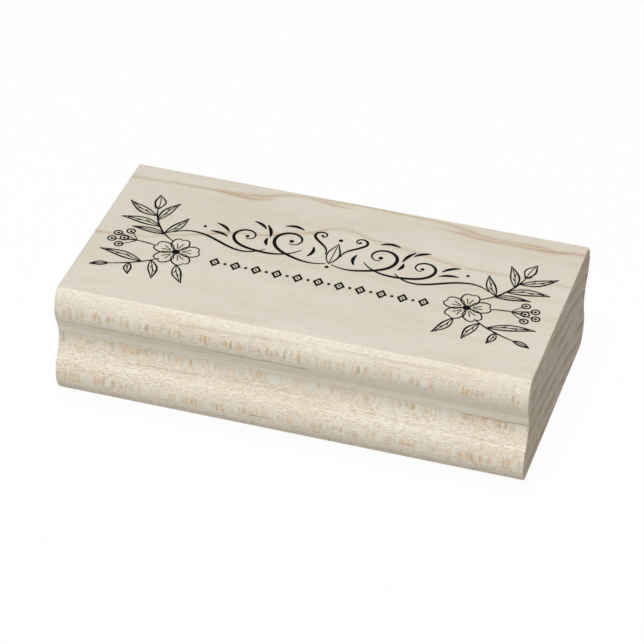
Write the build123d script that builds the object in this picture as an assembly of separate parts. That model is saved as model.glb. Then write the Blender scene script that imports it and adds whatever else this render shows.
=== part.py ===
"""Wood-mounted rubber stamp.

A moulded maple block carries a foam cushion and an engraved rubber die, held on with two adhesive films. The
die's design is printed once more on the block's top, as an index.

Frame: origin under the middle of the block, on the printing face. +X along the block, +Y away from the user,
+Z up through the block. Units are millimetres.
"""

import math
import os

from build123d import *

# --- the block -------------------------------------------------------------------------------------------
BLOCK_LENGTH = 82.5
BLOCK_WIDTH = 44.8
BLOCK_HEIGHT = 20.6
BULGE_RADIUS = 5.5  # convex bead along the top and the bottom of each long side
BULGE_HEIGHT = 3.8  # where a bead stands out furthest, from the nearer flat face
GRIP_DEPTH = 1.85  # finger groove at mid height, below the beads
TOP_EASING = 0.45
BOTTOM_EASING = 0.3
END_EASING = 0.25

# --- the layers below the block --------------------------------------------------------------------------
RELIEF_HEIGHT = 0.9  # engraved depth of the rubber
BACKING_THICKNESS = 1.4
ADHESIVE_THICKNESS = 0.1
CUSHION_THICKNESS = 1.6
BACKING_BOTTOM = RELIEF_HEIGHT
BACKING_TOP = BACKING_BOTTOM + BACKING_THICKNESS
CUSHION_BOTTOM = BACKING_TOP + ADHESIVE_THICKNESS
CUSHION_TOP = CUSHION_BOTTOM + CUSHION_THICKNESS
BLOCK_BOTTOM = CUSHION_TOP + ADHESIVE_THICKNESS
BLOCK_TOP = BLOCK_BOTTOM + BLOCK_HEIGHT

# --- trimmed outline of the die, cushion and adhesive ----------------------------------------------------
DIE_HALF_LENGTH = 39.8
DIE_BACK = 13.7
DIE_FRONT = -15.0
RECESS_FRONT = -8.4  # the trim steps in between the two sprays
RECESS_HALF_LENGTH = 17.0
RECESS_SLANT = 2.6
DIE_CORNER_RADIUS = 3.5

# --- the artwork -----------------------------------------------------------------------------------------
INK_THICKNESS = 0.05
HAIRLINE = 0.17
FINE_LINE = 0.27
BOLD_LINE = 0.64
STATION_SPACING = 1.4  # along a stroke, between the places where its width is set
LEAST_STATIONS = 6

BLOSSOM_CENTRE = (25.8, -4.2)
PETAL_COUNT = 5
PETAL_LENGTH = 4.1
PETAL_WIDTH = 3.4
EYE_RADIUS = 0.72
BERRY_RADIUS = 0.7

BEAD_ROW_Y = -5.0
BEAD_PITCH = 3.7
BEAD_COUNT = 11
LOZENGE_WIDTH = 2.0
LOZENGE_HEIGHT = 2.7
LOZENGE_OPENING = 0.52  # size of the open middle as a share of the lozenge
DOT_RADIUS = 0.3


def polar(centre, radius, degrees):
    """Point at a distance and bearing from a centre."""
    angle = math.radians(degrees)
    return (centre[0] + radius * math.cos(angle), centre[1] + radius * math.sin(angle))


def stroke(points, middle=FINE_LINE, start=HAIRLINE, end=HAIRLINE):
    """Pen stroke along a smooth line through the points, swelling from start to middle and falling to end."""
    line = Spline(*points)
    stations = LEAST_STATIONS + round(line.length / STATION_SPACING)
    left, right = [], []
    for station in range(stations + 1):
        t = station / stations
        plain = start + (end - start) * t
        width = plain + (middle - 0.5 * (start + end)) * math.sin(math.pi * t)
        here, heading = line @ t, line % t
        side = Vector(-heading.Y, heading.X) * (0.5 * width)
        left.append(here + side)
        right.append(here - side)
    edges = [Spline(*left), Line(left[-1], right[-1]), Spline(*right[::-1]), Line(right[0], left[0])]
    return make_face(edges)


def dot(centre, radius):
    return Pos(*centre) * Circle(radius).face()


def ring(centre, radius, line=FINE_LINE):
    outer = Circle(radius + 0.5 * line) - Circle(radius - 0.5 * line)
    return Pos(*centre) * outer.face()


def leaf(base, tip, width, bend=0.0, ribs=0):
    """Line-drawn leaf from base to tip: two edges, a midrib and side ribs. bend bows it to its left."""
    along = Vector(tip[0] - base[0], tip[1] - base[1])
    across = Vector(-along.Y, along.X).normalized()

    def at(t, offset):
        bow = bend * 4 * t * (1 - t)
        place = Vector(*base) + along * t + across * (offset + bow)
        return (place.X, place.Y)

    half = 0.5 * width
    upper = [at(0, 0), at(0.22, 0.72 * half), at(0.45, half), at(0.75, 0.55 * half), at(1, 0)]
    lower = [at(0, 0), at(0.22, -0.72 * half), at(0.45, -half), at(0.75, -0.55 * half), at(1, 0)]
    midrib = [at(0, 0), at(0.4, 0), at(0.86, 0)]
    faces = [stroke(upper, FINE_LINE), stroke(lower, 1.3 * FINE_LINE), stroke(midrib, HAIRLINE)]
    for rib in range(ribs):
        t = 0.26 + 0.2 * rib
        reach = (-0.7 if rib % 2 else 0.7) * (1 - t) * half
        faces.append(stroke([at(t, 0), at(t + 0.09, 0.45 * reach), at(t + 0.16, reach)], HAIRLINE))
    return faces


def petal(centre, bearing):
    """One rounded petal, open at the flower's eye, with a shallow notch at its rim and two veins."""
    inner = [polar(centre, 0.95, bearing - 20), polar(centre, 0.95, bearing + 20)]
    spread = math.degrees(math.atan2(0.5 * PETAL_WIDTH, 0.62 * PETAL_LENGTH))
    sides = [polar(centre, 0.68 * PETAL_LENGTH, bearing + sign * spread) for sign in (-1, 1)]
    rims = [polar(centre, PETAL_LENGTH, bearing + sign * 13) for sign in (-1, 1)]
    notch = polar(centre, 0.93 * PETAL_LENGTH, bearing)
    outline = [stroke([inner[n], sides[n], rims[n], notch], FINE_LINE) for n in (0, 1)]
    veins = [
        stroke([polar(centre, 1.1, bearing + 7 * sign), polar(centre, 0.5 * PETAL_LENGTH, bearing + 9 * sign),
                polar(centre, 0.66 * PETAL_LENGTH, bearing + 12 * sign)], HAIRLINE)
        for sign in (-1, 1)
    ]
    return outline + veins


def blossom(centre):
    """Open five-petalled flower with a dark eye and a ring of stamens."""
    faces = [dot(centre, EYE_RADIUS)]
    for n in range(PETAL_COUNT):
        bearing = 90 + n * 360 / PETAL_COUNT
        faces += petal(centre, bearing)
        faces.append(dot(polar(centre, 1.25, bearing + 36), 0.16))
        faces.append(stroke([polar(centre, 0.4, bearing + 36), polar(centre, 0.8, bearing + 36),
                             polar(centre, 1.2, bearing + 36)], HAIRLINE))
    return faces


def bud(base, tip, width):
    """Closed bud: a leaf shape with one overlapping inner petal and a small cup under it."""
    faces = leaf(base, tip, width, bend=0.25, ribs=0)
    along = Vector(tip[0] - base[0], tip[1] - base[1])
    across = Vector(-along.Y, along.X).normalized() * (0.5 * width)
    cup = [Vector(*base) + along * 0.2 + across * sign for sign in (0.75, -0.75)]
    faces.append(stroke([(cup[0].X, cup[0].Y), base, (cup[1].X, cup[1].Y)], 1.4 * FINE_LINE))
    return faces


def berry_twig():
    """Side twig that carries a fan of berries."""
    faces = [stroke([(29.7, -3.4), (31.6, -3.0), (33.4, -2.9)], FINE_LINE)]
    for place in ((35.2, -0.5), (37.1, -1.7), (35.6, -2.9), (37.6, -3.7), (35.9, -5.0)):
        middle = (0.5 * (33.4 + place[0]), -2.9 + 0.62 * (place[1] + 2.9))
        faces.append(stroke([(33.2, -2.9), middle, place], HAIRLINE))
        faces.append(ring(place, BERRY_RADIUS))
        faces.append(dot(place, 0.26))
    return faces


def spray():
    """The right-hand spray: a blossom, a climbing stem, a trailing stem, a berry twig and their leaves."""
    climbing = [(27.2, -1.2), (30.0, 1.2), (32.1, 4.6), (33.2, 8.0)]
    trailing = [(27.8, -7.0), (30.4, -8.9), (33.4, -10.4), (35.6, -11.2)]
    faces = [stroke(climbing, 1.3 * FINE_LINE), stroke(trailing, 1.2 * FINE_LINE)]
    faces += blossom(BLOSSOM_CENTRE)
    faces += bud((33.2, 7.9), (34.2, 12.2), 1.9)
    faces += berry_twig()
    leaves = [
        ((29.6, 0.8), (27.0, 6.6), 1.5, 0.3, 2),
        ((30.9, 2.5), (38.4, 3.6), 1.7, 0.5, 3),
        ((32.0, 4.4), (29.9, 10.6), 1.5, -0.3, 2),
        ((32.5, 5.6), (38.6, 9.0), 1.6, -0.4, 3),
        ((29.2, 0.5), (35.6, 1.1), 1.2, 0.25, 0),
        ((29.0, -8.0), (27.2, -13.3), 1.5, -0.3, 2),
        ((30.4, -8.9), (38.5, -7.2), 1.6, 0.4, 3),
        ((32.2, -9.9), (31.4, -13.3), 1.2, 0.2, 1),
        ((35.5, -11.2), (38.6, -12.4), 1.0, 0.15, 0),
        ((24.4, -7.9), (21.9, -13.0), 1.5, 0.35, 2),
    ]
    for base, tip, width, bend, ribs in leaves:
        faces += leaf(base, tip, width, bend, ribs)
    return faces


def curl(centre, radius, bearing, turns):
    """Points that wind inwards about a centre, from a bearing, anticlockwise where turns is positive."""
    count = 7
    return [
        polar(centre, radius * (1 - 0.72 * n / (count - 1)), bearing + 360 * turns * n / (count - 1))
        for n in range(count)
    ]


def half_scroll():
    """Right half of the penned scroll: waves that end in curls, a long tail, and drops between."""
    large = [(0.5, 0.9), (3.4, 0.2), (7.0, 1.1)] + curl((8.0, 5.7), 3.2, -40, 0.9)
    outer = [(5.6, 3.4), (9.4, 0.9), (13.6, 0.9)] + curl((15.7, 4.7), 2.6, -50, 0.9)
    upper = [(1.4, 3.6), (2.9, 6.6)] + curl((3.4, 9.1), 1.5, -60, 0.9)
    tail = [(11.6, 1.7), (16.4, 0.0), (20.6, 1.8), (24.4, 3.0), (28.1, 1.7)]
    faces = [
        stroke(large, BOLD_LINE),
        stroke(outer, 0.95 * BOLD_LINE),
        stroke(upper, 0.8 * BOLD_LINE),
        stroke(tail, 0.8 * BOLD_LINE),
    ]
    drops = [
        [(11.9, 5.6), (12.3, 7.4), (13.4, 9.2)],
        [(13.3, 7.9), (14.4, 9.0), (15.9, 9.6)],
        [(11.7, 3.0), (12.2, 4.0), (12.2, 5.2)],
        [(19.1, 4.9), (20.3, 6.2), (21.9, 6.9)],
        [(18.9, 3.4), (20.4, 4.1), (22.2, 4.2)],
        [(4.2, 2.0), (3.6, 3.6), (3.9, 5.2)],
        [(6.9, 9.6), (8.6, 10.3), (10.4, 9.8)],
    ]
    faces += [stroke(drop, BOLD_LINE) for drop in drops]
    faces += [dot((8.0, 5.6), 0.42), dot((15.7, 4.6), 0.36), dot((3.4, 9.0), 0.28), dot((23.6, 5.2), 0.3)]
    return faces


def scroll():
    """Whole scroll: the half and its mirror image, with a bud standing between them."""
    faces = half_scroll()
    faces += [mirror(face, Plane.YZ) for face in faces]
    faces += leaf((0, 1.0), (0, 7.4), 2.2, ribs=0)
    faces.append(dot((0, 8.6), 0.4))
    faces.append(dot((0, -0.1), 0.36))
    return faces


def lozenge(size):
    """Upright lozenge about the origin, at a share of its full size."""
    x, y = 0.5 * size * LOZENGE_WIDTH, 0.5 * size * LOZENGE_HEIGHT
    return make_face(Polyline((x, 0), (0, y), (-x, 0), (0, -y), close=True))


def bead_row():
    """Line of open lozenges, each with a dot in it, and a dot between each two."""
    frame = (lozenge(1) - lozenge(LOZENGE_OPENING)).face()
    start = -0.5 * BEAD_PITCH * (BEAD_COUNT - 1)
    faces = []
    for n in range(BEAD_COUNT):
        x = start + n * BEAD_PITCH
        faces += [Pos(x, BEAD_ROW_Y) * frame, Pos(x, BEAD_ROW_Y) * lozenge(0.2)]
        if n:
            faces.append(dot((x - 0.5 * BEAD_PITCH, BEAD_ROW_Y), DOT_RADIUS))
    return faces


def joined(faces):
    """Overlapping faces merged into one flat figure, facing up."""
    figure = faces[0].fuse(*faces[1:])
    return [face if face.normal_at().Z > 0 else -face for face in figure.faces()]


def raised(figure, bottom, height):
    """The figure as prisms of one height."""
    return [extrude(Pos(0, 0, bottom) * face, amount=height, dir=(0, 0, 1)) for face in figure]


def side_outline():
    """Front side of the block's section, from the bottom face up: a bead, a finger groove and a second bead.

    Returns the three arcs, which run smoothly into each other, and their two ends.
    """
    middle = 0.5 * BLOCK_HEIGHT
    rise = middle - BULGE_HEIGHT
    radius_sum = (rise**2 + GRIP_DEPTH**2) / (2 * GRIP_DEPTH)
    meet_height = BULGE_HEIGHT + rise * BULGE_RADIUS / radius_sum
    meet_depth = BULGE_RADIUS - math.sqrt(BULGE_RADIUS**2 - (meet_height - BULGE_HEIGHT) ** 2)
    edge_depth = BULGE_RADIUS - math.sqrt(BULGE_RADIUS**2 - BULGE_HEIGHT**2)
    front = -0.5 * BLOCK_WIDTH
    stations = [
        (edge_depth, 0),
        (0, BULGE_HEIGHT),
        (meet_depth, meet_height),
        (GRIP_DEPTH, middle),
        (meet_depth, BLOCK_HEIGHT - meet_height),
        (0, BLOCK_HEIGHT - BULGE_HEIGHT),
        (edge_depth, BLOCK_HEIGHT),
    ]
    points = [(front + depth, BLOCK_BOTTOM + height) for depth, height in stations]
    arcs = [ThreePointArc(*points[n : n + 3]) for n in (0, 2, 4)]
    return arcs, points[0], points[-1]


def wood_block():
    """Maple mount: the moulded section cut square at both ends, with every arris eased."""
    arcs, bottom, top = side_outline()
    back = [mirror(arc, Plane.YZ) for arc in arcs]
    flats = [Line(top, (-top[0], top[1])), Line(bottom, (-bottom[0], bottom[1]))]
    section = make_face(arcs + back + flats)
    for end, easing in ((-1, TOP_EASING), (0, BOTTOM_EASING)):
        corners = section.vertices().group_by(Axis.Y)[end]
        section = fillet(corners, easing).face()
    block = extrude(Plane.YZ * section, amount=0.5 * BLOCK_LENGTH, both=True)
    ends = block.faces().filter_by(Axis.X)
    return fillet([edge for face in ends for edge in face.edges()], END_EASING)


def trim_outline():
    """Outline that the die, the cushion and the adhesive films share."""
    recess = RECESS_HALF_LENGTH + RECESS_SLANT
    right = [(DIE_HALF_LENGTH, DIE_BACK), (DIE_HALF_LENGTH, DIE_FRONT), (recess, DIE_FRONT),
             (RECESS_HALF_LENGTH, RECESS_FRONT)]
    left = [(-x, y) for x, y in reversed(right)]
    outline = make_face(Polyline(*right, *left, close=True))
    return fillet(outline.vertices(), DIE_CORNER_RADIUS)


def sheet(bottom, thickness):
    """Flat layer cut to the trim outline."""
    return extrude(Pos(0, 0, bottom) * trim_outline(), amount=thickness, dir=(0, 0, 1))


def rubber_die(figure):
    """Engraved rubber: the backing sheet and the raised artwork under it, in one piece."""
    backing = sheet(BACKING_BOTTOM, BACKING_THICKNESS)
    return backing.fuse(*raised(figure, 0, RELIEF_HEIGHT))


def write(name, shape):
    solids = shape if isinstance(shape, list) else shape.solids()
    piece = solids[0] if len(solids) == 1 else Compound(children=list(solids))
    export_step(piece, f"parts/{name}.step")
    print(f"{name}: {len(solids)} solids, {sum(s.volume for s in solids):.2f} mm3")


def main():
    os.makedirs("parts", exist_ok=True)
    right_spray = joined(spray())
    left_spray = joined([mirror(face, Plane.YZ) for face in right_spray])
    figures = {
        "index_left_spray": left_spray,
        "index_right_spray": right_spray,
        "index_scroll": joined(scroll()),
        "index_bead_row": joined(bead_row()),
    }
    for name, figure in figures.items():
        write(name, raised(figure, BLOCK_TOP, INK_THICKNESS))
    write("wood_block", wood_block())
    write("block_adhesive", sheet(CUSHION_TOP, ADHESIVE_THICKNESS))
    write("foam_cushion", sheet(CUSHION_BOTTOM, CUSHION_THICKNESS))
    write("die_adhesive", sheet(BACKING_TOP, ADHESIVE_THICKNESS))
    write("rubber_die", rubber_die([face for figure in figures.values() for face in figure]))


main()
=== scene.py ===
"""Looks of the wood-mounted rubber stamp: maple, ink, foam, adhesive film and rubber, in a plain studio.

Lengths are in metres unless a name ends in _MM. Materials work in millimetres of the row's own frame, so that
the wood's figure runs through the block as one solid.
"""

import math

import bmesh
import bpy
from mathutils import Matrix, Vector, noise


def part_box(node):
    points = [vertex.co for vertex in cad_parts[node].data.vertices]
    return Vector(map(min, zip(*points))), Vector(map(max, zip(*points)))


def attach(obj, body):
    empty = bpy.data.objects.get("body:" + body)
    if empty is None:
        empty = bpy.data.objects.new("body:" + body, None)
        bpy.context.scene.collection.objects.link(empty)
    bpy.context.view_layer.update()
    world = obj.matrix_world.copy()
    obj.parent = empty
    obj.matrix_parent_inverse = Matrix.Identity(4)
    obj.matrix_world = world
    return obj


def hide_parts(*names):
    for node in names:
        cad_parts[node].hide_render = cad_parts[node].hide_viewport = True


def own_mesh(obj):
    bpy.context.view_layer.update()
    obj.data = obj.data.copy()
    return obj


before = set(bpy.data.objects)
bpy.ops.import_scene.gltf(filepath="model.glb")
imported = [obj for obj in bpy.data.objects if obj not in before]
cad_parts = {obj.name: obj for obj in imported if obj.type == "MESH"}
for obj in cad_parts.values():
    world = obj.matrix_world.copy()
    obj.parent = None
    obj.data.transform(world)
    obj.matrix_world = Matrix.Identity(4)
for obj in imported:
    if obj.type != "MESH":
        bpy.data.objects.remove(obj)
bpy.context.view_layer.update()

MM = 0.001
BLOCK_LOW, BLOCK_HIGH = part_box("wood_block")
HALF_LENGTH = BLOCK_HIGH.x
HALF_WIDTH = BLOCK_HIGH.y
BLOCK_BOTTOM = BLOCK_LOW.z
BLOCK_TOP = BLOCK_HIGH.z
BLOCK_HEIGHT = BLOCK_TOP - BLOCK_BOTTOM


def piece(name, shape, material):
    """Object from a bmesh, which it frees, smooth-shaded and in the scene."""
    mesh = bpy.data.meshes.new(name)
    shape.to_mesh(mesh)
    shape.free()
    mesh.shade_smooth()
    mesh.materials.append(material)
    obj = bpy.data.objects.new(name, mesh)
    bpy.context.scene.collection.objects.link(obj)
    return obj


def join_loops(shape, loops):
    """Quads between each closed loop of points and the next."""
    count = len(loops[0])
    for low, high in zip(loops, loops[1:]):
        for n in range(count):
            after = (n + 1) % count
            shape.faces.new((low[n], low[after], high[after], high[n]))


# --- maple block ---------------------------------------------------------------------------------------

BULGE_RADIUS = 5.5 * MM
BULGE_HEIGHT = 3.8 * MM
GRIP_DEPTH = 1.85 * MM
TOP_EASING = 0.42 * MM
BOTTOM_EASING = 0.3 * MM
END_EASING = 0.25 * MM
EASING_SPREAD = 0.3  # how unevenly the arrises were sanded, as a share of each easing
EASING_WANDER = 3 * MM  # length over which the sanding changes
STATION_STEP = 0.5 * MM  # along the block
FLAT_STEPS = 30  # across the top and the bottom
ARC_STEPS = 26
EASING_STEPS = 6


def half_side(easing):
    """Points (depth, height) from a flat face round its arris and over the bulge, up to the finger groove.

    Depth is from the side's furthest reach and height from the flat face.
    """
    middle = 0.5 * BLOCK_HEIGHT
    rise = middle - BULGE_HEIGHT
    grip_and_bulge = (rise**2 + GRIP_DEPTH**2) / (2 * GRIP_DEPTH)
    centre_depth = BULGE_RADIUS - math.sqrt((BULGE_RADIUS - easing) ** 2 - (BULGE_HEIGHT - easing) ** 2)
    turn = math.asin((BULGE_HEIGHT - easing) / (BULGE_RADIUS - easing))
    points = []
    for n in range(EASING_STEPS):
        angle = math.pi / 2 + (turn - math.pi / 2) * n / EASING_STEPS
        points.append((centre_depth - easing * math.cos(angle), easing * (1 - math.sin(angle))))
    end = math.asin(rise / grip_and_bulge)
    for n in range(ARC_STEPS):
        angle = -turn + (end + turn) * n / ARC_STEPS
        points.append((BULGE_RADIUS * (1 - math.cos(angle)), BULGE_HEIGHT + BULGE_RADIUS * math.sin(angle)))
    grip_radius = grip_and_bulge - BULGE_RADIUS
    for n in range(ARC_STEPS // 2):
        angle = end * (1 - 2 * n / ARC_STEPS)
        inwards = grip_radius * (1 - math.cos(angle))
        points.append((GRIP_DEPTH - inwards, middle - grip_radius * math.sin(angle)))
    return points


def side(x, seed):
    """Points (depth, height) up one whole moulded side, with its arrises as worn at that place."""
    lower_wear, upper_wear = (
        1 + EASING_SPREAD * noise.noise(Vector((x / EASING_WANDER, seed, arris))) for arris in (0, 7)
    )
    lower = half_side(BOTTOM_EASING * lower_wear)
    upper = half_side(TOP_EASING * upper_wear)
    middle = [(GRIP_DEPTH, 0.5 * BLOCK_HEIGHT)]
    return lower + middle + [(depth, BLOCK_HEIGHT - height) for depth, height in reversed(upper)]


def across(front, back, step):
    """Point between the front side and the back side, a number of steps along."""
    return front.lerp(back, step / FLAT_STEPS)


def section(x):
    """Closed loop of points round the block, starting at the bottom of the front side."""
    front = [Vector((x, depth - HALF_WIDTH, BLOCK_BOTTOM + height)) for depth, height in side(x, 1)]
    back = [Vector((x, HALF_WIDTH - depth, BLOCK_BOTTOM + height)) for depth, height in side(x, 2)]
    top = [across(front[-1], back[-1], n) for n in range(1, FLAT_STEPS)]
    bottom = [across(back[0], front[0], n) for n in range(1, FLAT_STEPS)]
    return front + top + back[::-1] + bottom


def eased_end(loop, share):
    """The loop at a share of the way round the end's arris: drawn inwards, and back from the end."""
    moved = []
    for n, point in enumerate(loop):
        along = loop[(n + 1) % len(loop)] - loop[n - 1]
        outwards = Vector((0, -along.z, along.y)).normalized()
        easing = END_EASING * (1 + EASING_SPREAD * noise.noise(point / EASING_WANDER))
        angle = share * math.pi / 2
        back = math.copysign(easing * (1 - math.sin(angle)), point.x)
        inwards = -outwards * easing * (1 - math.cos(angle))
        moved.append(point + inwards - Vector((back, 0, 0)))
    return moved


def close_end(shape, loop):
    """Closes one end with rows of quads between the front side and the back side."""
    between = FLAT_STEPS - 1
    levels = len(loop) // 2 - between
    front = loop[:levels]
    top = loop[levels : levels + between]
    back = loop[levels + between : 2 * levels + between][::-1]
    bottom = loop[2 * levels + between :][::-1]
    rows = [[front[0], *bottom, back[0]]]
    for low, high in zip(front[1:-1], back[1:-1]):
        inner = [shape.verts.new(across(low.co, high.co, n)) for n in range(1, FLAT_STEPS)]
        rows.append([low, *inner, high])
    rows.append([front[-1], *top, back[-1]])
    for lower, upper in zip(rows, rows[1:]):
        for n in range(FLAT_STEPS):
            shape.faces.new((lower[n], lower[n + 1], upper[n + 1], upper[n]))


def maple_block(material):
    """The moulded block as one closed mesh of quads, with lightly uneven arrises."""
    shape = bmesh.new()
    inner = HALF_LENGTH - 2 * END_EASING
    count = round(2 * inner / STATION_STEP)
    loops = [section(-inner + 2 * inner * n / count) for n in range(count + 1)]
    for end in (-HALF_LENGTH, HALF_LENGTH):
        eased = [eased_end(section(end), n / EASING_STEPS) for n in range(EASING_STEPS + 1)]
        loops = eased[::-1] + loops if end < 0 else loops + eased
    loops = [[shape.verts.new(point) for point in loop] for loop in loops]
    join_loops(shape, loops)
    close_end(shape, loops[0])
    close_end(shape, loops[-1])
    bmesh.ops.recalc_face_normals(shape, faces=shape.faces)
    block = piece("maple_block", shape, material)
    block.modifiers.new("even_shading", "WEIGHTED_NORMAL")
    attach(block, "block")
    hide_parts("wood_block")


# --- foam cushion --------------------------------------------------------------------------------------

CUT_STEP = 0.3 * MM  # along the cut edge
CUT_LEVELS = 8  # up the cut edge
CUT_PINCH = 0.09 * MM  # how far the knife drew the middle of the edge in
CUT_ROUGHNESS = 0.05 * MM
CUT_CELL_MM = 0.35  # size of the burst cells
RIM_STEPS = (0.4 * MM, 1.2 * MM)  # inwards from the edge, under the films
MERGE_DISTANCE = 0.001 * MM


def is_level(face):
    """Whether a face of a flat sheet belongs to its top or bottom, not to its edge."""
    return abs(face.normal.z) > 0.5


def outline_of(node):
    """Evenly spaced (point, outward normal) round a flat CAD node's outline, anticlockwise from above."""
    low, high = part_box(node)
    shape = bmesh.new()
    shape.from_mesh(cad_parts[node].data)
    bmesh.ops.remove_doubles(shape, verts=shape.verts, dist=MERGE_DISTANCE)
    middle = 0.5 * (low.z + high.z)
    rim = [
        edge for edge in shape.edges
        if all(vert.co.z > middle for vert in edge.verts)
        and sum(is_level(face) for face in edge.link_faces) == 1
    ]
    after = {}
    for edge in rim:
        flat = next(face for face in edge.link_faces if is_level(face))
        loop = next(corner for corner in flat.loops if corner.edge == edge)
        after[loop.vert] = loop.link_loop_next.vert
    start = here = rim[0].verts[0]
    corners = []
    while not corners or here != start:
        corners.append(here.co.copy())
        here = after[here]
    shape.free()
    return even_loop(corners)


def even_loop(corners):
    """Points at CUT_STEP along a closed flat line, with the outward normal at each."""
    lengths = [(b - a).length for a, b in zip(corners, corners[1:] + corners[:1])]
    count = round(sum(lengths) / CUT_STEP)
    step = sum(lengths) / count
    points = []
    corner = 0
    passed = 0.0
    for n in range(count):
        while n * step > passed + lengths[corner]:
            passed += lengths[corner]
            corner += 1
        share = (n * step - passed) / lengths[corner]
        points.append(corners[corner].lerp(corners[(corner + 1) % len(corners)], share))
    normals = []
    for n in range(count):
        along = points[(n + 2) % count] - points[n - 2]
        normals.append(Vector((along.y, -along.x, 0)).normalized())
    return list(zip(points, normals))


def foam_cushion(material):
    """The cushion as it is cut: its edge drawn in a little by the knife and rough with burst cells."""
    low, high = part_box("foam_cushion")
    outline = outline_of("foam_cushion")
    shape = bmesh.new()
    rows = []
    for level in range(CUT_LEVELS + 1):
        up = level / CUT_LEVELS
        row = []
        for point, normal in outline:
            place = Vector((point.x, point.y, low.z + up * (high.z - low.z)))
            rough = CUT_ROUGHNESS * (0.5 + 0.5 * noise.noise(place / MM / CUT_CELL_MM))
            drawn_in = CUT_PINCH * math.sin(math.pi * up) + rough
            row.append(shape.verts.new(place - normal * drawn_in))
        rows.append(row)
    for inset in RIM_STEPS:
        below, above = (
            [
                shape.verts.new((point.x - normal.x * inset, point.y - normal.y * inset, height))
                for point, normal in outline
            ]
            for height in (low.z, high.z)
        )
        rows = [below, *rows, above]
    join_loops(shape, rows)
    for row in (rows[0], rows[-1]):
        flat = shape.faces.new(row)
        flat.normal_update()
        bmesh.ops.triangulate(shape, faces=[flat])
    bmesh.ops.recalc_face_normals(shape, faces=shape.faces)
    cushion = piece("cut_foam_cushion", shape, material)
    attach(cushion, "block")
    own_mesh(cushion)
    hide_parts("foam_cushion")


# --- materials -----------------------------------------------------------------------------------------


def linear(red, green, blue):
    """Linear colour of an 8-bit sRGB one."""
    return tuple(
        c / 12.92 / 255 if c <= 10 else ((c / 255 + 0.055) / 1.055) ** 2.4
        for c in (red, green, blue)
    ) + (1.0,)


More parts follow.
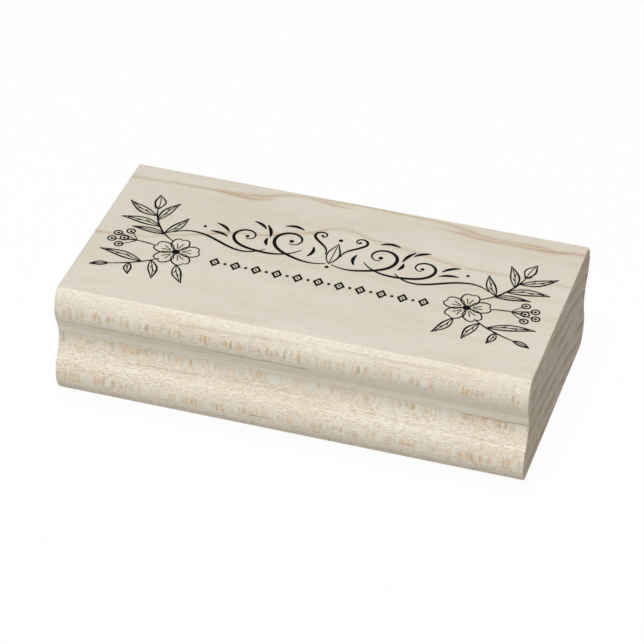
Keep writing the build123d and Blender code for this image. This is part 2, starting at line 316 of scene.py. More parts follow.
class Graph:
    """One material's node tree, with short calls for the nodes that these materials use."""

    def __init__(self, name):
        self.material = bpy.data.materials.new(name)
        self.material.use_nodes = True
        self.tree = self.material.node_tree
        self.tree.nodes.clear()
        where = self.node("ShaderNodeTexCoord")
        self.normal = where.outputs["Normal"]
        self.place = self.vector("MULTIPLY", where.outputs["Object"], (1 / MM, 1 / MM, 1 / MM))
        self.x, self.y, self.z = self.split(self.place)

    def node(self, kind, **settings):
        """New node of a kind."""
        node = self.tree.nodes.new(kind)
        for name, value in settings.items():
            setattr(node, name, value)
        return node

    def feed(self, socket, value):
        """Links a socket to another one, or sets it to a number, vector or colour."""
        if isinstance(value, bpy.types.NodeSocket):
            self.tree.links.new(value, socket)
        else:
            socket.default_value = value

    def vector(self, operation, a, b):
        """Result of one operation on two vectors."""
        node = self.node("ShaderNodeVectorMath", operation=operation)
        self.feed(node.inputs[0], a)
        self.feed(node.inputs[1], b)
        return node.outputs[0]

    def split(self, vector):
        """x, y and z of a vector."""
        node = self.node("ShaderNodeSeparateXYZ")
        self.feed(node.inputs[0], vector)
        return node.outputs[0], node.outputs[1], node.outputs[2]

    def join(self, x, y, z):
        """Vector of x, y and z."""
        node = self.node("ShaderNodeCombineXYZ")
        for socket, value in zip(node.inputs, (x, y, z)):
            self.feed(socket, value)
        return node.outputs[0]

    def math(self, operation, a, b=0.0, clamp=False):
        """Result of one operation on one or two numbers."""
        node = self.node("ShaderNodeMath", operation=operation, use_clamp=clamp)
        self.feed(node.inputs[0], a)
        self.feed(node.inputs[1], b)
        return node.outputs[0]

    def add(self, *values):
        """Sum of the values."""
        total = values[0]
        for value in values[1:]:
            total = self.math("ADD", total, value)
        return total

    def times(self, *values):
        """Product of the values."""
        total = values[0]
        for value in values[1:]:
            total = self.math("MULTIPLY", total, value)
        return total

    def less(self, a, b):
        """a without b."""
        return self.math("SUBTRACT", a, b)

    def unsigned(self, value):
        """The value without its sign."""
        return self.math("ABSOLUTE", value)

    def between(self, value, low, high):
        """1 where the value lies between low and high, else 0."""
        return self.times(self.math("GREATER_THAN", value, low), self.math("LESS_THAN", value, high))

    def ease(self, value, low, high, start=0.0, end=1.0):
        """Smooth step from start to end as the value passes from low to high, which may be the lower one."""
        node = self.node("ShaderNodeMapRange", interpolation_type="SMOOTHSTEP")
        for name, given in (("From Min", low), ("From Max", high), ("To Min", start), ("To Max", end)):
            self.feed(node.inputs[name], given)
        self.feed(node.inputs["Value"], value)
        return node.outputs["Result"]

    def near(self, distance, core, edge, most=1.0):
        """Most within the core of a distance, and falling to nothing at its edge."""
        return self.ease(distance, core, edge, start=most, end=0.0)

    def noise_at(self, where, detail=2.0, roughness=0.5):
        """Noise from about 0 to 1 at a vector, with features of about one unit."""
        node = self.node("ShaderNodeTexNoise", noise_dimensions="3D")
        self.feed(node.inputs["Vector"], where)
        node.inputs["Scale"].default_value = 1.0
        node.inputs["Detail"].default_value = detail
        node.inputs["Roughness"].default_value = roughness
        return node.outputs[0]

    def noise(self, size, detail=2.0, shift=(0.0, 0.0, 0.0), roughness=0.5):
        """Noise from about 0 to 1, with features of the given size in millimetres along x, y and z."""
        where = self.vector("DIVIDE", self.vector("ADD", self.place, shift), size)
        return self.noise_at(where, detail, roughness)

    def swing(self, size, reach, detail=2.0, shift=(0.0, 0.0, 0.0)):
        """Noise about zero, with a reach to either side."""
        return self.times(self.less(self.noise(size, detail, shift), 0.5), 2 * reach)

    def chance(self, vector):
        """Three random shares, the same all over wherever the vector is the same."""
        node = self.node("ShaderNodeTexWhiteNoise", noise_dimensions="3D")
        self.feed(node.inputs["Vector"], vector)
        return self.split(node.outputs["Color"])

    def curve(self, value, points, low, high):
        """Smooth curve of value through points, whose second numbers lie between low and high."""
        first, last = points[0][0], points[-1][0]
        node = self.node("ShaderNodeFloatCurve")
        line = node.mapping.curves[0]
        while len(line.points) < len(points):
            line.points.new(0.5, 0.5)
        for point, (x, y) in zip(line.points, points):
            point.location = ((x - first) / (last - first), (y - low) / (high - low))
        node.mapping.update()
        node.inputs["Factor"].default_value = 1.0
        share = self.math("DIVIDE", self.less(value, first), last - first, clamp=True)
        self.feed(node.inputs["Value"], share)
        return self.add(self.times(node.outputs[0], high - low), low)

    def mix(self, share, a, b, blend="MIX"):
        """Colour a with a share of b over it."""
        node = self.node("ShaderNodeMix", data_type="RGBA", blend_type=blend)
        self.feed(node.inputs[0], share)
        self.feed(node.inputs[6], a)
        self.feed(node.inputs[7], b)
        return node.outputs[2]

    def tint(self, colour, tone, *shares, most=1.0):
        """The colour with a tone over it, at most so far, in the product of some shares."""
        return self.mix(self.times(*shares, most), colour, tone)

    def shade(self, colour, tone, *shares, most=1.0):
        """The colour multiplied by a tone, at most so far, in the product of some shares."""
        return self.mix(self.times(*shares, most), colour, tone, "MULTIPLY")

    def bump(self, height, depth_mm, strength):
        """Normal of a surface with a relief."""
        node = self.node("ShaderNodeBump")
        node.inputs["Strength"].default_value = strength
        node.inputs["Distance"].default_value = depth_mm * MM
        self.feed(node.inputs["Height"], height)
        return node.outputs[0]

    def surface(self, colour, roughness, normal=None, **fixed):
        """The finished material."""
        shader = self.node("ShaderNodeBsdfPrincipled")
        self.feed(shader.inputs["Base Color"], colour)
        self.feed(shader.inputs["Roughness"], roughness)
        if normal is not None:
            self.feed(shader.inputs["Normal"], normal)
        for name, value in fixed.items():
            shader.inputs[name.replace("_", " ")].default_value = value
        output = self.node("ShaderNodeOutputMaterial")
        self.feed(output.inputs["Surface"], shader.outputs[0])
        return self.material


# --- maple ---------------------------------------------------------------------------------------------
# All lengths are in millimetres here. Heights are above the block's bottom, and a noise has its size along
# x, y and z.

# Ground, with painted shade on the top face and at the foot of the sides
GROUND = linear(238, 231, 215)
GROUND_DRIFT = linear(232, 222, 204)
HAZE = linear(221, 210, 189)
BLUSH = linear(232, 212, 186)
PAINTED_TOP_SHADE = (0.888, 0.89, 0.892, 1.0)  # already linear; painted shade that darkens the top face
# painted shade: the sides darken towards the bottom, next to the floor
PAINTED_FOOT_SHADE = linear(210, 203, 196)

# Rings, which run through the whole block
RING = linear(186, 160, 124)
RING_PITCH_MM = 3.35
RING_FALL = (0.03, 0.0035)  # towards the back: per millimetre, and per square millimetre
RING_SLOPE = 0.3  # of the same fall where the growth lines are, on top
RING_DARKENS = (0.25, 0.93)  # shares of the pitch
RING_ENDS = (0.95, 0.995)
RING_ON_ENDS = 0.8
RING_ON_SIDES = 0.12

# Growth lines: the rings where they cross the block's top. Each is a list of (x, y), and its strength is a
# list of (x, share)
LINE_HALO = linear(213, 182, 146)
LINE_CORE = linear(165, 132, 100)
HALO_REACH_MM = (0.1, 1.3)  # full up to the first distance and gone at the second
CORE_REACH_MM = (0.02, 0.26)
REAR_LINE = [
    (-42, 16.3), (-33, 16.9), (-25, 17.0), (-22, 17.2), (-19, 17.6), (-15.3, 18.7), (-12, 19.8), (-6, 20.4),
    (0, 20.5), (11, 20.2), (16.7, 19.8), (20.6, 18.8), (23.6, 18.1), (28, 18.0), (33.3, 18.1), (36, 17.6),
    (42, 17.9),
]
REAR_STRENGTH = [
    (-42, 0.7), (-34, 0.55), (-26, 0.7), (-21, 0.7), (-17, 0.85), (-13, 0.6), (-8, 0.65), (0, 0.62),
    (10, 0.65), (17, 0.55), (21, 0.75), (26, 0.5), (33, 0.6), (37, 0.6), (42, 0.45),
]
BRANCH_LINE = [
    (-42, 16.0), (-25, 16.8), (-21, 16.4), (-18, 16.3), (-15, 17.2), (-10, 19.4), (-7, 19.7), (-3, 19.1),
    (0, 19.2), (6, 18.8), (15, 18.0), (19.4, 17.7), (22.2, 17.2), (26.4, 17.0), (30.6, 17.0), (36.4, 17.3),
    (39, 17.9), (42, 18.3),
]
BRANCH_STRENGTH = [
    (-42, 0.0), (-27, 0.0), (-23, 0.9), (-19, 0.9), (-16, 0.1), (-11, 0.0), (-8, 0.35), (-4, 0.65),
    (-1, 0.2), (3, 0.0), (12, 0.05), (18, 0.55), (23, 0.8), (29, 0.6), (33, 0.8), (36, 1.0), (39, 0.55),
    (42, 0.5),
]
MIDDLE_LINE = [
    (-42, -2.6), (-34, -1.6), (-28, 0.6), (-22, 3.2), (-18, 4.9), (-13, 5.9), (-9, 7.9), (-5.5, 9.4),
    (-3, 11.4), (0, 12.1), (5, 10.8), (10, 10), (15, 9.0), (20, 7.7), (27, 7.5), (35, 7.8), (42, 7.4),
]
MIDDLE_STRENGTH = [
    (-42, 0.85), (-36, 0.6), (-30, 0.4), (-24, 0.7), (-20, 0.95), (-16, 0.45), (-11, 0.95), (-8, 0.7),
    (-5, 0.9), (-2, 0.55), (4, 0.55), (10, 0.48), (18, 0.48), (26, 0.38), (34, 0.35), (42, 0.35),
]
REAR_SPAN = (14.0, 22.0)  # the y between which the rear line and its branch lie
MIDDLE_SPAN = (-4.0, 14.0)
STRENGTH_SPAN = (0.0, 1.0)

# A stain lies between the rear line and its branch, with a strength of its own along x
STAIN = linear(206, 172, 136)
STAIN_STRENGTH = [
    (-42, 0.0), (-25, 0.0), (-22, 0.6), (-18, 0.66), (-15, 0.25), (-11, 0.0), (15, 0.0), (21, 0.35),
    (28, 0.5), (34, 0.72), (37, 0.5), (39, 0.0), (42, 0.0),
]

# Rays show as a row of upright flecks wherever the moulded side is upright: on both beads and in the groove
FLECK_HALF_HEIGHT_MM = 0.9
FLECK_LAYERS = [(1.15, 0.0), (0.78, 40.0)]  # (pitch along the grain, shift), of two layers of flecks
BAR_SHARE, BLOCK_SHARE, PALE_SHARE = 0.3, 0.68, 0.96  # upper ends of the three kinds; the rest is bare
BLOCK_HALF_WIDTH = 0.44  # of the pitch, for the narrowest
BLOCK_WIDER = 0.12  # at most
BAR_NARROWER = 0.2
FLECK_RAGGED = (0.35, 0.55)  # how far an outline strays, in half widths and in half heights
SIDE_ROWS = 9  # added to a row's number at the back and taken off at the front, so that the two differ
FLECK_PALE = linear(229, 229, 218)
FLECK_WARM = linear(212, 174, 116)
FLECK_GREY = linear(190, 162, 124)
STREAK_DARK = linear(212, 187, 146)
STREAK_PALE = linear(229, 228, 218)
MOTTLE = linear(206, 184, 148)

# Torn grain covers the moulded sides. It is weaker in the rows, and on a smooth strip above the groove's
# middle
SMOOTH_HEIGHT_MM = 13.7
SMOOTH_REACH_MM = (1.2, 2.3)
GRAIN_FALL = 0.14  # of the dashes, along x
GRAIN_SIZE_MM = (0.7, 0.3, 0.11)
GRAIN_DARK = linear(206, 188, 155)
GRAIN_PALE = linear(240, 235, 222)
WAVE_PITCH_MM = 0.55
WAVE_BEND = 2.6  # pitches
WAVE = linear(194, 170, 145)
SPECK_DARK = linear(204, 192, 166)
SPECK_PALE = linear(246, 242, 230)

# A strip of early wood runs along the sides
EARLY_WOOD = linear(250, 243, 227)
EARLY_WOOD_HEIGHT_MM = 12.3
EARLY_WOOD_REACH_MM = (0.3, 1.0)

# Pores along the grain, and long dark lines on the sides: fibres, and painted crease shade:
# (start x, end x, height at the start, height at the end, half thickness, share)
PORE = linear(198, 178, 146)
FIBRE_AND_CREASE_SHADE = linear(158, 130, 100)
FIBRES_AND_CREASE_SHADE = [
    # The first two lines, along the groove's upper edge at about 14.5 mm, are painted crease shade; the rest
    # are fibres
    (-16, 6, 14.4, 14.7, 0.16, 0.8), (-43, -8, 14.5, 14.6, 0.3, 0.45), (28.5, 44, 10.85, 11.1, 0.14, 1.0),
    (-7, -2, 3.2, 3.35, 0.13, 0.8), (19.5, 22.6, 3.55, 3.65, 0.13, 0.6), (-31, -12, 7.7, 8.3, 0.2, 0.45),
    (-12, 7, 8.3, 8.5, 0.16, 0.35), (-20, 8, 12.3, 12.5, 0.16, 0.35), (-23, 4, 18.5, 19.3, 0.2, 0.4),
    (4, 33, 19.3, 19.6, 0.18, 0.3), (14, 40, 7.4, 7.0, 0.18, 0.3), (-44, 20, 7.6, 7.2, 0.3, 0.12),
]

# End grain: its darkening of the ends is partly painted shade
END_PALE = linear(236, 229, 218)
END_DARK = linear(198, 184, 164)
END_STREAK = linear(188, 172, 150)
END_STREAK_SIZE_MM = (6, 2.4, 0.3)  # the third is across the rings


class WoodGraph(Graph):
    """Node tree that also knows where on the block a point is, by its height and by shares from 0 to 1."""

    def __init__(self, name):
        super().__init__(name)
        along, _, upright = self.split(self.normal)
        self.height = self.less(self.z, BLOCK_BOTTOM / MM)
        self.top = self.ease(upright, 0.9, 0.99)
        self.end = self.ease(self.unsigned(along), 0.45, 0.9)
        self.side = self.less(1.0, self.end)
        self.moulded = self.times(self.side, self.near(self.unsigned(upright), 0.8, 0.98))

    def from_height(self, height_mm):
        """Distance from a height."""
        return self.unsigned(self.less(self.height, height_mm))


def wood_ground(g):
    """Ground colour, warmer and cooler in long drifts, with a blush that is strongest at the front right."""
    drift = g.noise(size=(34, 9, 9), detail=3, shift=(11, 4, 2))
    colour = g.mix(g.ease(drift, 0.3, 0.7), GROUND, GROUND_DRIFT)
    haze = g.noise(size=(7, 1.6, 1.6), detail=4, shift=(0, 9, 5))
    colour = g.tint(colour, HAZE, g.ease(haze, 0.35, 0.75), most=0.3)
    blush = g.noise(size=(14, 1.5, 1.5), detail=3, shift=(5, 5, 9))
    to_rear_left = g.add(g.times(g.x, -0.4), g.y)
    fading = g.ease(to_rear_left, -20.0, 14.0, start=0.55, end=0.1)
    return g.tint(colour, BLUSH, g.ease(blush, 0.48, 0.7), fading)


def ring_height(g):
    """Height that is the same all along a ring: the rings are level at the front and fall to the back."""
    depth = g.add(g.y, HALF_WIDTH / MM)
    fall = g.add(g.times(depth, RING_FALL[0]), g.times(depth, depth, RING_FALL[1]))
    long_bend = g.swing(size=(40, 18, 18), reach=1.1)
    short_bend = g.swing(size=(9, 5, 5), reach=0.16)
    return g.add(g.height, fall, long_bend, short_bend)


def rings(g, colour, ring_place):
    """The colour with the rings over it, each darkening upwards to a sharp end: strong on the ends only."""
    share = g.math("FRACT", g.times(ring_place, 1 / RING_PITCH_MM))
    patchy = g.ease(g.noise(size=(12, 6, 6), shift=(7, 7, 7)), 0.3, 0.65)
    ring = g.times(g.ease(share, *RING_DARKENS), g.near(share, *RING_ENDS), patchy)
    weight = g.add(g.times(g.end, RING_ON_ENDS), g.times(g.side, RING_ON_SIDES))
    to_top = g.less(BLOCK_HEIGHT / MM, g.height)
    return g.tint(colour, RING, ring, weight, g.ease(to_top, 0.8, 3.0, start=0.4))


def growth_line(g, points, strength, span):
    """(signed distance in millimetres, strength) of one growth line, which dives from the top to the back."""
    wander = g.add(g.swing(size=(5, 4, 4), reach=0.35, shift=(3, 0, 0)), g.swing((1.2, 2, 2), 0.12, detail=1))
    across = g.less(g.y, g.curve(g.x, points, *span))
    dive = g.times(g.less(g.z, BLOCK_TOP / MM), 1 / RING_SLOPE)
    return g.add(across, dive, wander), g.curve(g.x, strength, *STRENGTH_SPAN)


def drawn_line(g, colour, distance, weight):
    """The colour with one growth line over it: a soft warm halo and a darker core."""
    far = g.unsigned(distance)
    colour = g.tint(colour, LINE_HALO, g.near(far, *HALO_REACH_MM), weight, most=0.45)
    return g.tint(colour, LINE_CORE, g.near(far, *CORE_REACH_MM), weight, most=0.72)


def growth_lines(g, colour):
    """The colour with the block's growth lines over it, and a stain between the two that run side by side."""
    rear, rear_weight = growth_line(g, REAR_LINE, REAR_STRENGTH, REAR_SPAN)
    branch, branch_weight = growth_line(g, BRANCH_LINE, BRANCH_STRENGTH, REAR_SPAN)
    middle, middle_weight = growth_line(g, MIDDLE_LINE, MIDDLE_STRENGTH, MIDDLE_SPAN)
    between = g.times(g.near(rear, -0.35, 0.1), g.ease(branch, -0.1, 0.35))
    patches = g.noise(size=(6, 0.35, 0.35), detail=3, shift=(5, 1, 1))
    patchy = g.ease(patches, 0.38, 0.62, start=0.3, end=0.9)
    colour = g.tint(colour, STAIN, between, g.curve(g.x, STAIN_STRENGTH, *STRENGTH_SPAN), patchy)
    for distance, weight in ((rear, rear_weight), (branch, branch_weight), (middle, middle_weight)):
        colour = drawn_line(g, colour, distance, weight)
    return colour


def fleck_rows(g):
    """(number, height above its middle in half heights of a fleck) of the nearest row of ray flecks."""
    low_row = BULGE_HEIGHT / MM
    row_pitch = 0.5 * BLOCK_HEIGHT / MM - low_row
    wander = g.swing(size=(9, 9, 9), reach=0.35, detail=1, shift=(1, 5, 5))
    rows = g.add(g.times(g.less(g.add(g.height, wander), low_row), 1 / row_pitch), 0.5)
    up = g.times(g.less(g.math("FRACT", rows), 0.5), row_pitch / FLECK_HALF_HEIGHT_MM)
    return g.add(g.math("FLOOR", rows), g.times(g.math("SIGN", g.y), SIDE_ROWS)), up


def flecks(g, row, up, pitch, shift):
    """(dark, pale) shares of one layer of ray flecks, one to a cell.

    A fleck is a thin dark bar, a fainter dark block or a pale block, and its outline is ragged.
    """
    along = g.add(g.times(g.x, 1 / pitch), shift, g.swing(size=(4, 4, 4), reach=0.5, shift=(shift, 0, 0)))
    kind, width, tone = g.chance(g.join(g.math("FLOOR", along), row, shift))
    bar = g.math("LESS_THAN", kind, BAR_SHARE)
    block = g.between(kind, BAR_SHARE, BLOCK_SHARE)
    pale_block = g.between(kind, BLOCK_SHARE, PALE_SHARE)

    half_width = g.less(g.add(BLOCK_HALF_WIDTH, g.times(width, BLOCK_WIDER)), g.times(bar, BAR_NARROWER))
    over = g.math("DIVIDE", g.less(g.math("FRACT", along), 0.5), half_width)
    over = g.add(over, g.swing(size=(0.3, 0.3, 0.5), reach=FLECK_RAGGED[0], shift=(shift, 8, 3)))
    rise = g.times(g.less(width, 0.5), 0.35)
    up = g.add(up, rise, g.swing(size=(0.3, 0.3, 0.3), reach=FLECK_RAGGED[1], shift=(3, 3, shift)))
    up = g.math("DIVIDE", up, g.add(0.6, g.times(tone, 0.55)))
    out = g.math("SQRT", g.add(g.times(over, over, over, over), g.times(up, up, up, up)))

    fill = g.times(g.near(out, 0.4, 1.2), g.add(0.4, g.times(tone, 0.6)))
    return g.times(fill, g.add(bar, g.times(block, 0.6))), g.times(fill, pale_block)


def ray_rows(g, colour):
    """(the colour with the rays over it, share of the rows).

    Each row has fine upright streaks, flecks over them, and a mottle along its upper and lower edge.
    """
    row, up = fleck_rows(g)
    from_row = g.unsigned(g.add(up, g.swing(size=(0.8, 0.8, 0.8), reach=0.5, shift=(5, 5, 5))))
    band = g.times(g.moulded, g.near(from_row, 0.7, 1.3))
    streak = g.noise(size=(0.17, 0.8, 1.4), shift=(4, 4, 4), roughness=0.6)
    colour = g.tint(colour, STREAK_DARK, g.ease(streak, 0.5, 0.68), band, most=0.6)
    colour = g.tint(colour, STREAK_PALE, g.ease(streak, 0.5, 0.32), band, most=0.65)

    fringe = g.times(g.moulded, g.ease(from_row, 0.8, 1.2), g.near(from_row, 1.3, 2.4))
    mottle = g.noise(size=(0.34, 0.4, 0.28), detail=1, shift=(6, 1, 6))
    colour = g.tint(colour, MOTTLE, g.ease(mottle, 0.5, 0.66), fringe, most=0.42)

    crowd = g.ease(g.noise(size=(2.4, 5, 1.5), shift=(2, 8, 1)), 0.36, 0.56, start=0.35)
    greyer = g.ease(g.noise(size=(2.4, 2, 4), detail=1, shift=(6, 6, 2)), 0.4, 0.6)
    tone = g.mix(greyer, FLECK_WARM, FLECK_GREY)
    streaky = g.ease(streak, 0.4, 0.58, start=0.5, end=1.1)
    for pitch, shift in FLECK_LAYERS:
        dark, pale = flecks(g, row, up, pitch, shift)
        colour = g.tint(colour, FLECK_PALE, pale, g.moulded, most=0.6)
        colour = g.tint(colour, tone, dark, crowd, g.moulded, streaky)
    return colour, band


def slanting_grain(g):
    """Noise in short dashes, a little aslant to the block's length."""
    long, deep, high = GRAIN_SIZE_MM
    level = g.add(g.z, g.times(g.x, GRAIN_FALL))
    return g.noise_at(g.join(g.times(g.x, 1 / long), g.times(g.y, 1 / deep), g.times(level, 1 / high)))


def torn_grain(g, colour, band, grain):
    """The colour with torn grain over it: dashes and wavy broken fibres on the moulded sides, and specks."""
    smooth = g.near(g.from_height(SMOOTH_HEIGHT_MM), *SMOOTH_REACH_MM)
    off_rows = g.less(1.0, g.times(band, 0.55))
    off_smooth = g.less(1.0, g.times(smooth, 0.6))
    dashes = g.times(g.moulded, off_rows, off_smooth, g.ease(g.height, 15.0, 18.0, start=1.0, end=0.6))
    colour = g.tint(colour, GRAIN_DARK, g.ease(grain, 0.47, 0.66), dashes, most=0.4)
    colour = g.tint(colour, GRAIN_PALE, g.ease(grain, 0.47, 0.3), dashes, most=0.5)

    bend = g.times(g.noise(size=(0.6, 0.5, 0.5), detail=1, shift=(7, 2, 5)), WAVE_BEND)
    wave = g.math("FRACT", g.add(g.times(g.z, 1 / WAVE_PITCH_MM), bend))
    crest = g.near(g.unsigned(g.less(wave, 0.5)), 0.02, 0.22)
    broken = g.ease(g.noise(size=(1.0, 0.4, 0.4), detail=1, shift=(4, 9, 4)), 0.42, 0.54)
    colour = g.tint(colour, WAVE, crest, broken, dashes, most=0.8)

    speck = g.noise(size=(0.75, 0.15, 0.1), detail=1, shift=(2, 7, 2))
    near_top = g.ease(g.height, 17.6, 18.8, start=1.0, end=0.45)
    torn = g.times(g.moulded, g.less(1.0, smooth), near_top, 0.65)
    rough = g.times(off_rows, g.add(0.35, torn))
    colour = g.tint(colour, SPECK_DARK, g.ease(speck, 0.5, 0.64), rough, most=0.36)
    return g.tint(colour, SPECK_PALE, g.ease(speck, 0.5, 0.34), rough, most=0.6)


def fibres_and_crease_shade(g):
    """Share of the long dark lines near the block's two long sides: fibres, and painted crease shade along
    the groove's upper edge.
    """
    near_side = g.ease(g.unsigned(g.y), 10.0, 14.0)
    bend = g.swing(size=(7, 6, 6), reach=0.25, shift=(9, 1, 4))
    total = 0.0
    for start, end, low, high, half, strength in FIBRES_AND_CREASE_SHADE:
        along = g.math("DIVIDE", g.less(g.x, start), end - start)
        line = g.add(g.times(along, high - low), low, bend)
        far = g.unsigned(g.less(g.height, line))
        ends = g.times(g.ease(along, 0.0, 0.2), g.near(along, 0.8, 1.0))
        total = g.math("MAXIMUM", total, g.times(g.near(far, 0.0, 2 * half, strength), ends))
    broken = g.ease(g.noise(size=(3.2, 1, 0.3), detail=3, shift=(3, 3, 3)), 0.2, 0.62)
    return g.times(total, near_side, g.side, broken)


def end_grain_and_shade(g, colour, ring_place):
    """The colour darkened on the block's ends, with fine vessels and with streaks along the rings: the end
    grain's own darker tone, deepened with painted shade.
    """
    vessels = g.noise(size=(3, 0.12, 0.12), shift=(8, 3, 3), roughness=0.6)
    end_tone_and_shade = g.mix(g.ease(vessels, 0.4, 0.75), END_PALE, END_DARK)
    long, deep, high = END_STREAK_SIZE_MM
    place = g.join(g.times(g.x, 1 / long), g.times(g.y, 1 / deep), g.times(ring_place, 1 / high))
    end_tone_and_shade = g.tint(end_tone_and_shade, END_STREAK, g.ease(g.noise_at(place), 0.5, 0.72, end=0.85))
    # Partly painted shade: the end grain's own darker tone, deepened to stand in for the unlit end
    return g.shade(colour, end_tone_and_shade, g.end, most=0.75)


def maple():
    """Unfinished hard maple, flat-sawn: growth lines on top, ray fleck on the sides, rings on the ends."""
    g = WoodGraph("maple")
    ring_place = ring_height(g)
    grain = slanting_grain(g)
    pores = g.noise(size=(1.3, 0.13, 0.13), shift=(1, 1, 1), roughness=0.6)
    fibre = g.noise(size=(2.4, 0.09, 0.09), detail=3, roughness=0.6)

    colour = wood_ground(g)
    colour = rings(g, colour, ring_place)
    colour = growth_lines(g, colour)
    # Painted shade: the top face is darkened against the moulded sides
    colour = g.shade(colour, PAINTED_TOP_SHADE, g.top)
    colour, band = ray_rows(g, colour)
    colour = torn_grain(g, colour, band, grain)
    early_wood = g.near(g.from_height(EARLY_WOOD_HEIGHT_MM), *EARLY_WOOD_REACH_MM)
    colour = g.tint(colour, EARLY_WOOD, early_wood, g.side, most=0.5)
    colour = g.tint(colour, PORE, g.ease(pores, 0.58, 0.75), most=0.22)
    # Dark fibres, and painted crease shade along the groove's upper edge
    colour = g.tint(colour, FIBRE_AND_CREASE_SHADE, fibres_and_crease_shade(g), most=0.7)
    colour = end_grain_and_shade(g, colour, ring_place)
    # Painted shade: the sides are darkened towards the bottom, next to the floor
    colour = g.shade(colour, PAINTED_FOOT_SHADE, g.side, g.near(g.height, 0.9, 2.2), most=0.5)

    relief = g.add(g.times(fibre, 0.7), g.times(grain, 0.3), g.times(pores, -0.4))
    bumps = g.bump(relief, depth_mm=0.06, strength=0.5)
    roughness = g.add(0.6, g.times(fibre, 0.12))
    return g.surface(colour, roughness, bumps, Specular_IOR_Level=0.3)


# --- other materials -----------------------------------------------------------------------------------

INK_SOLID = linear(9, 8, 8)
INK_WORN = linear(30, 27, 25)
RUBBER_DARK = linear(158, 62, 50)
RUBBER_LIGHT = linear(172, 74, 60)
RUBBER_GRAIN = linear(196, 110, 94)
ENGRAVED_SPAN_MM = (0.5, 0.85)  # above the printing face; the engraved ground's grain fades in over it
FILM_LIGHT = linear(226, 216, 186)
FILM_DARK = linear(210, 196, 160)
FOAM_LIGHT = linear(214, 212, 206)
FOAM_DARK = linear(201, 199, 193)
FOAM_HOLLOW_SHADE = linear(152, 150, 144)
FOAM_CELLS = [(3.4, 0.6), (7.5, 0.4)]  # (cells to a millimetre, depth) of the large and the small ones


def ink():
    """Matte black ink, soaked a little into the fibres."""
    g = Graph("index_ink")
    fibre = g.noise(size=(1.8, 0.12, 0.12), detail=3, shift=(2, 2, 2), roughness=0.6)
    colour = g.mix(g.ease(fibre, 0.5, 0.85), INK_SOLID, INK_WORN)
    bumps = g.bump(fibre, depth_mm=0.04, strength=0.4)
    return g.surface(colour, 0.8, bumps, Specular_IOR_Level=0.1)


def rubber():
    """Engraved red rubber: smooth on its printing face and fine-grained on the engraved ground."""
    g = Graph("die_rubber")
    engraved = g.ease(g.z, *ENGRAVED_SPAN_MM)
    grain = g.noise(size=(0.22, 0.22, 0.22), detail=3, roughness=0.6)
    colour = g.mix(g.ease(g.noise(size=(6, 6, 6), detail=3), 0.3, 0.7), RUBBER_DARK, RUBBER_LIGHT)
    colour = g.tint(colour, RUBBER_GRAIN, engraved, g.ease(grain, 0.4, 0.8), most=0.5)
    bumps = g.bump(grain, depth_mm=0.05, strength=0.5)
    roughness = g.add(0.5, g.times(engraved, 0.18))
    return g.surface(colour, roughness, bumps, Specular_IOR_Level=0.4)


def film():
    """Clear double-sided adhesive film, yellowish in its thickness."""
    g = Graph("adhesive_film")
    smear = g.noise(size=(2, 2, 2), detail=3)
    colour = g.mix(g.ease(smear, 0.3, 0.7), FILM_LIGHT, FILM_DARK)
    return g.surface(colour, 0.35, g.bump(smear, depth_mm=0.03, strength=0.3))


def foam():
    """Pale grey closed-cell foam: burst cells of two sizes, darkened with painted shade, and a faint mottle
    all over.
    """
    g = Graph("cushion_foam")
    mottle = g.noise(size=(4, 4, 4), detail=3)
    colour = g.mix(g.ease(mottle, 0.3, 0.7), FOAM_LIGHT, FOAM_DARK)
    hollows = 0.0
    for cells, depth in FOAM_CELLS:
        cell = g.node("ShaderNodeTexVoronoi", feature="F1")
        g.feed(cell.inputs["Vector"], g.place)
        cell.inputs["Scale"].default_value = cells
        hollows = g.add(hollows, g.times(g.near(cell.outputs["Distance"], 0.1, 0.55), depth))
    # Painted shade in the burst cells
    colour = g.tint(colour, FOAM_HOLLOW_SHADE, hollows, most=0.75)
    bumps = g.bump(hollows, depth_mm=-0.12, strength=0.9)
    return g.surface(colour, 0.88, bumps, Specular_IOR_Level=0.2)


# --- camera: where it stands and looks, solved for the block's outline ---------------------------------

CAMERA_YAW = math.radians(15.6)
CAMERA_PITCH = math.radians(34.466)
CAMERA_ROLL = math.radians(2.05)
CAMERA_DISTANCE = 6.8233  # in block lengths, like the two offsets
CAMERA_ASIDE = 0.0025
CAMERA_ABOVE = -0.0914
CAMERA_REACH = 20.0
SENSOR_MM = 36.0
LENS_MM = 180.42


def camera():
    """Long-lens camera above and in front of the block, a little to its right and rolled a little."""
    right = Vector((math.cos(CAMERA_YAW), math.sin(CAMERA_YAW), 0))
    forward = Vector((
        -math.sin(CAMERA_YAW) * math.cos(CAMERA_PITCH),
        math.cos(CAMERA_YAW) * math.cos(CAMERA_PITCH),
        -math.sin(CAMERA_PITCH),
    ))
    up = right.cross(forward)
    rolled_right = math.cos(CAMERA_ROLL) * right + math.sin(CAMERA_ROLL) * up
    rolled_up = -math.sin(CAMERA_ROLL) * right + math.cos(CAMERA_ROLL) * up
    offset = CAMERA_ASIDE * rolled_right + CAMERA_ABOVE * rolled_up + CAMERA_DISTANCE * forward
    data = bpy.data.cameras.new("camera")
    data.sensor_width = SENSOR_MM
    data.lens = LENS_MM
    data.clip_end = CAMERA_REACH
    obj = bpy.data.objects.new("camera", data)
    axes = Matrix((rolled_right, rolled_up, -forward)).transposed()
    place = Vector((0, 0, BLOCK_BOTTOM)) - offset * 2 * HALF_LENGTH
    obj.matrix_world = Matrix.Translation(place) @ axes.to_4x4()
    bpy.context.scene.collection.objects.link(obj)
    bpy.context.scene.camera = obj


# --- studio --------------------------------------------------------------------------------------------

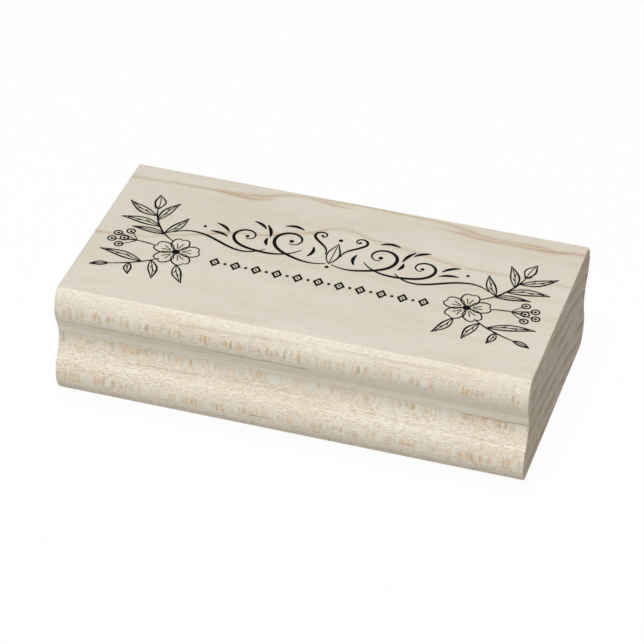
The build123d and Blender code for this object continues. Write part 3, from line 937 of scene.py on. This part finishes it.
SKY_LIGHT = 0.08
FLOOR_REACH = 6.0
FLOOR_COLOUR = (0.8, 0.8, 0.8, 1)
FLOOR_GAP = 0.02 * MM  # below the printing face, which would otherwise lie in the floor
FLOOR_WHITENESS = 0.97
KEY_PLACE = Vector((0.0, -0.51, 1.096))
KEY_SIZE = 0.36
KEY_POWER = 13.5
FILL_PLACE = Vector((0.0, 1.15, 0.15))
FILL_SIZE = 0.3
FILL_POWER = 3.6


def sky():
    """Weak even light from all round, in front of a white background."""
    world = bpy.data.worlds.new("studio")
    world.use_nodes = True
    tree = world.node_tree
    tree.nodes.clear()
    lighting = tree.nodes.new("ShaderNodeBackground")
    lighting.inputs["Strength"].default_value = SKY_LIGHT
    backdrop = tree.nodes.new("ShaderNodeBackground")
    for node in (lighting, backdrop):
        node.inputs["Color"].default_value = (1, 1, 1, 1)
    mix = tree.nodes.new("ShaderNodeMixShader")
    tree.links.new(tree.nodes.new("ShaderNodeLightPath").outputs["Is Camera Ray"], mix.inputs[0])
    tree.links.new(lighting.outputs[0], mix.inputs[1])
    tree.links.new(backdrop.outputs[0], mix.inputs[2])
    tree.links.new(mix.outputs[0], tree.nodes.new("ShaderNodeOutputWorld").inputs["Surface"])
    bpy.context.scene.world = world
    bpy.context.scene.view_settings.view_transform = "Standard"


def floor():
    """White floor: the camera sees it as nearly plain white, and it lights the stamp as real paper would."""
    shape = bmesh.new()
    bmesh.ops.create_grid(shape, x_segments=1, y_segments=1, size=FLOOR_REACH)
    bmesh.ops.translate(shape, verts=shape.verts, vec=(0, 0, -FLOOR_GAP))
    g = Graph("floor")
    paper = g.surface(FLOOR_COLOUR, 0.9, Specular_IOR_Level=0.0)
    output = g.tree.nodes["Material Output"]
    lit = output.inputs["Surface"].links[0].from_socket
    white = g.node("ShaderNodeEmission")
    seen = g.node("ShaderNodeMixShader")
    eye = g.node("ShaderNodeLightPath").outputs["Is Camera Ray"]
    g.feed(seen.inputs[0], g.times(eye, FLOOR_WHITENESS))
    g.feed(seen.inputs[1], lit)
    g.feed(seen.inputs[2], white.outputs[0])
    g.feed(output.inputs["Surface"], seen.outputs[0])
    piece("floor", shape, paper)


def light(name, place, size, power):
    """Soft disk that faces the block."""
    data = bpy.data.lights.new(name, "AREA")
    data.shape = "DISK"
    data.size = size
    data.energy = power
    lamp = bpy.data.objects.new(name, data)
    lamp.location = place
    aim = Vector((0, 0, BLOCK_BOTTOM)) - place
    lamp.rotation_euler = aim.to_track_quat("-Z", "Y").to_euler()
    bpy.context.scene.collection.objects.link(lamp)


def paint(material, *nodes):
    """Gives CAD nodes a material in place of their plain one."""
    for name in nodes:
        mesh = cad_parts[name].data
        mesh.materials.clear()
        mesh.materials.append(material)


camera()
sky()
floor()
light("key", KEY_PLACE, KEY_SIZE, KEY_POWER)
light("fill", FILL_PLACE, FILL_SIZE, FILL_POWER)
maple_block(maple())
paint(ink(), "index_left_spray", "index_right_spray", "index_scroll", "index_bead_row")
paint(rubber(), "rubber_die")
paint(film(), "block_adhesive", "die_adhesive")
foam_cushion(foam())
